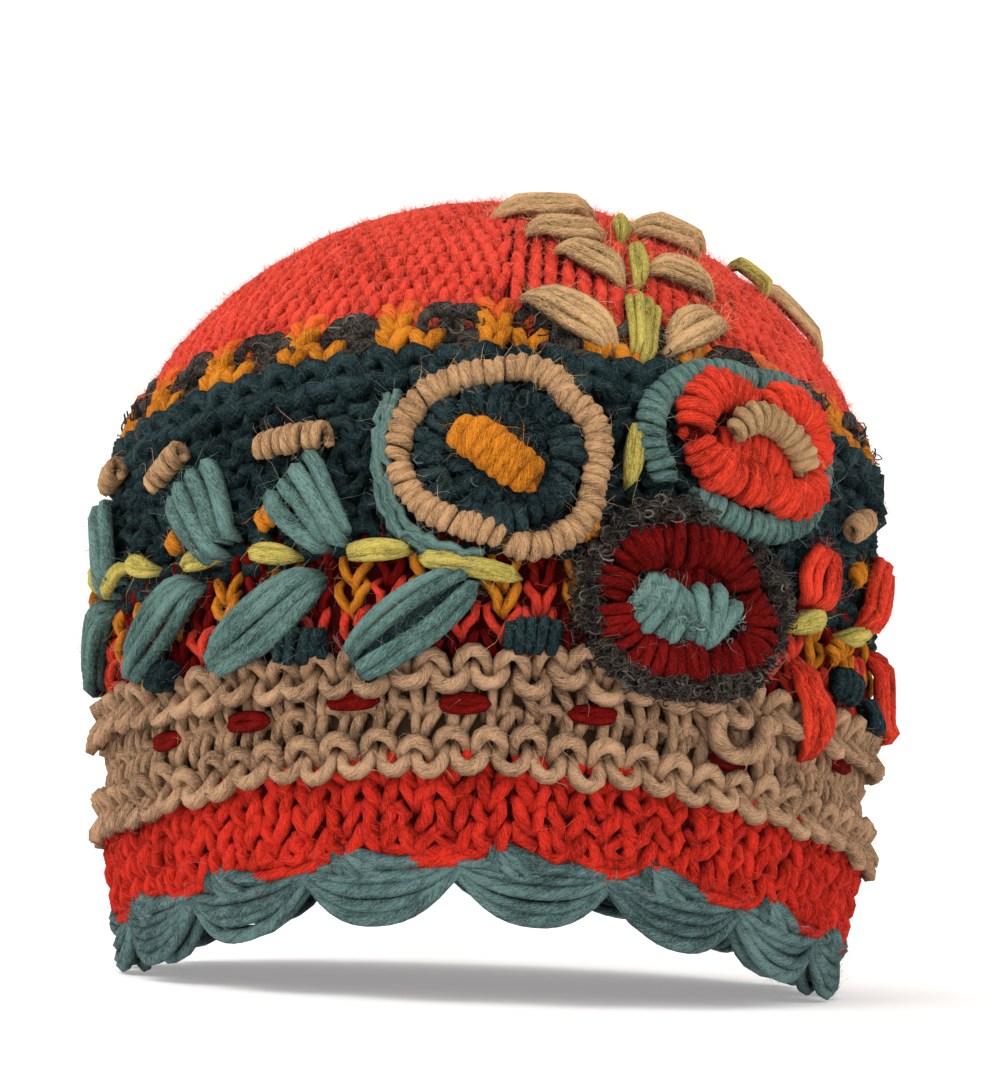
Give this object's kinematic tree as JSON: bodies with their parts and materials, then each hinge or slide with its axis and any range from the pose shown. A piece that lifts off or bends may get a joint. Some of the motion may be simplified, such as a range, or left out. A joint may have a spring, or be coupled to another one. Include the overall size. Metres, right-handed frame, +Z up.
{
  "type": "knitted hat",
  "caption": "Hand-knitted wool hat with a round crown, a scalloped rim, bands of coloured knitting and raised stitched flowers and leaves.",
  "frame": {"origin": "middle of the hat's bounding box seen from above, on the plane that the lowest scallops of its rim rest on", "axes": "+Z up through the crown, -Y out through the front with the large round flower, +X to the viewer's right as seen from the front"},
  "size_m": [0.1832, 0.191, 0.1785],
  "materials": {
    "red_wool": "matte, slightly fuzzy wool yarn",
    "deep_red_wool": "matte, slightly fuzzy wool yarn",
    "brown_wool": "matte, slightly fuzzy wool yarn",
    "tan_wool": "matte, slightly fuzzy wool yarn",
    "teal_wool": "matte, slightly fuzzy wool yarn",
    "dark_teal_wool": "matte, slightly fuzzy wool yarn",
    "amber_wool": "matte, slightly fuzzy wool yarn",
    "charcoal_wool": "matte, slightly fuzzy wool yarn",
    "maroon_wool": "matte, slightly fuzzy wool yarn",
    "lime_wool": "matte, slightly fuzzy wool yarn"
  },
  "bodies": {
    "root": {"scallop_edge": "teal_wool", "red_band": "deep_red_wool", "garter_band": "brown_wool", "colourwork_band": "maroon_wool", "dark_band": "dark_teal_wool", "fairisle_band": "charcoal_wool", "crown": "red_wool", "large_flower_ring": "tan_wool", "large_flower_disc": "dark_teal_wool", "large_flower_centre": "amber_wool", "red_flower_edge": "teal_wool", "red_flower_ring": "deep_red_wool", "red_flower_centre": "tan_wool", "dark_flower_edge": "charcoal_wool", "dark_flower_ring": "maroon_wool", "dark_flower_centre": "teal_wool", "crown_leaf_1_left": "tan_wool", "crown_leaf_1_right": "tan_wool", "crown_leaf_2_left": "tan_wool", "crown_leaf_2_right": "tan_wool", "crown_leaf_3_left": "tan_wool", "crown_leaf_3_right": "tan_wool", "crown_leaf_4_left": "tan_wool", "crown_leaf_4_right": "tan_wool", "side_leaf_1": "tan_wool", "side_leaf_2": "tan_wool", "side_leaf_3": "tan_wool", "stem_1": "lime_wool", "stem_2": "lime_wool", "stem_3": "lime_wool", "side_stem": "lime_wool", "teal_fan_1": "teal_wool", "teal_fan_2": "teal_wool", "teal_fan_3": "teal_wool", "teal_leaf_1": "teal_wool", "teal_leaf_2": "teal_wool", "teal_leaf_3": "teal_wool", "teal_leaf_4": "teal_wool", "red_fan_1": "deep_red_wool", "red_leaf_1": "deep_red_wool", "red_fan_2": "deep_red_wool", "red_leaf_2": "deep_red_wool", "knot_1": "tan_wool", "knot_2": "tan_wool", "knot_3": "tan_wool", "knot_4": "tan_wool", "block_1": "dark_teal_wool", "block_2": "dark_teal_wool", "block_3": "dark_teal_wool", "block_4": "dark_teal_wool", "block_5": "dark_teal_wool"}
  },
  "joints": []
}
